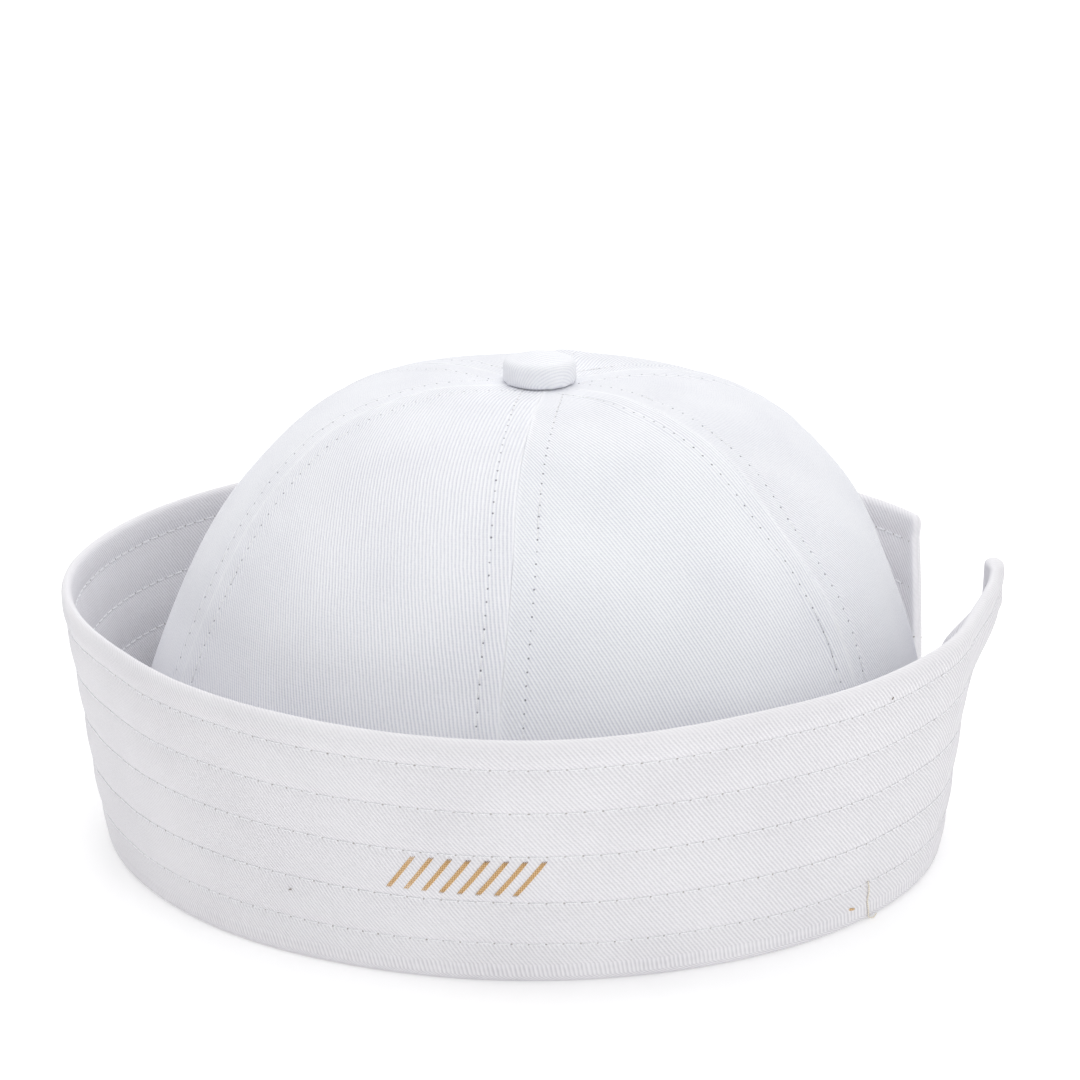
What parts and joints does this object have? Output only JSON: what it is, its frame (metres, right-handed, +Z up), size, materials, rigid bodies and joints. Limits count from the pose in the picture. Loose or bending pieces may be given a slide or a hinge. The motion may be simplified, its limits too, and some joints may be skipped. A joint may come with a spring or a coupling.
{
  "type": "sailor cap",
  "caption": "Soft white sailor cap: a rounded crown of sewn cloth panels under a covered button, with a quilted cuff turned up all round and split at one side.",
  "frame": {"origin": "middle of the cap's box, on the surface that the cap rests on", "axes": "+Z up through the crown, -Y towards the front of the cap, +X towards the side where the cuff is split"},
  "size_m": [0.2082, 0.2248, 0.1077],
  "materials": {
    "crown_twill": "matt white cotton twill, slightly cool",
    "cuff_twill": "matt white cotton twill, quilted in rows"
  },
  "bodies": {
    "root": {"crown_panel_left": "crown_twill", "crown_panel_right": "crown_twill", "crown_panel_side_right": "crown_twill", "crown_panel_back_right": "crown_twill", "crown_panel_back_left": "crown_twill", "crown_panel_side_left": "crown_twill", "cuff": "cuff_twill", "top_button": "crown_twill"}
  },
  "joints": []
}
